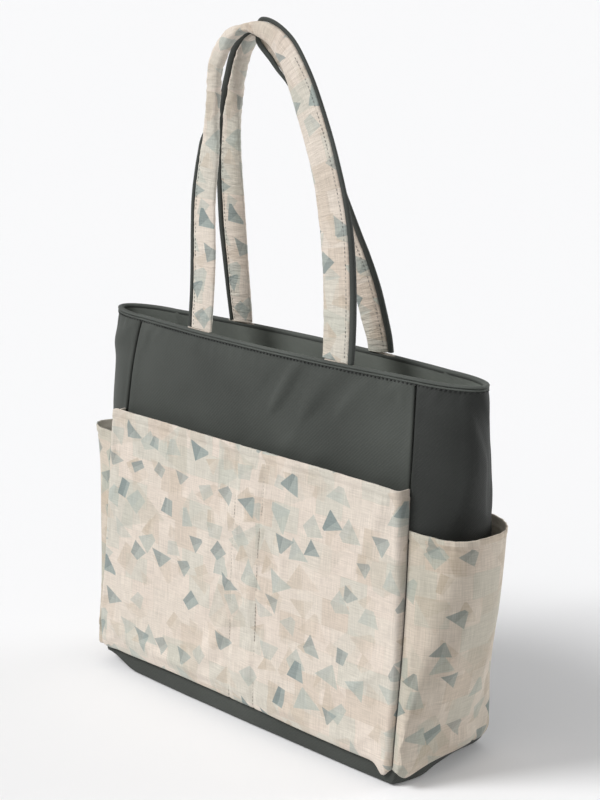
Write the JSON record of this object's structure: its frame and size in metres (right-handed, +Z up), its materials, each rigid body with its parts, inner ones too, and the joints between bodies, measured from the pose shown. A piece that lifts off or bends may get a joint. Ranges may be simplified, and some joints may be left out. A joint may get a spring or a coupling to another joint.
{
  "type": "carryall bag",
  "caption": "Soft open-topped carryall with a flat base, a printed front pocket, printed side pockets and padded shoulder straps that fold down outside.",
  "frame": {"origin": "middle of the base, on the floor", "axes": "+X along the bag's width, -Y towards its front with the large pocket, +Z up"},
  "size_m": [0.4798, 0.1279, 0.6019],
  "materials": {
    "nylon": "matt twill",
    "lining": "matt",
    "canvas": "printed canvas",
    "canvas_inside": "matt",
    "webbing": "matt",
    "board": "matt"
  },
  "bodies": {
    "bag_body": {"front_panel": "nylon", "rear_panel": "nylon", "left_gusset": "nylon", "right_gusset": "nylon", "base_panel": "nylon", "base_board": "board", "rim_binding": "nylon", "lining_front": "lining", "lining_rear": "lining", "lining_left": "lining", "lining_right": "lining", "lining_base": "lining", "front_pocket": "canvas", "front_pocket_lining": "canvas_inside", "left_side_pocket": "canvas", "right_side_pocket": "canvas", "front_left_strap_tail": "canvas", "front_right_strap_tail": "canvas", "rear_left_strap_tail": "canvas", "rear_right_strap_tail": "canvas"},
    "front_handle": {"front_handle_sleeve": "canvas", "front_handle_core": "webbing", "front_handle_edging": "nylon"},
    "rear_handle": {"rear_handle_sleeve": "canvas", "rear_handle_core": "webbing", "rear_handle_edging": "nylon"}
  },
  "joints": [
    {"name": "front_handle_fold", "type": "hinge", "parent": "bag_body", "child": "front_handle", "pos_m": [0, -0.02909, 0.3312], "axis": [1, 0, 0], "range_deg": [0, 165]},
    {"name": "rear_handle_fold", "type": "hinge", "parent": "bag_body", "child": "rear_handle", "pos_m": [0, 0.02909, 0.3312], "axis": [-1, 0, 0], "range_deg": [0, 165]}
  ]
}
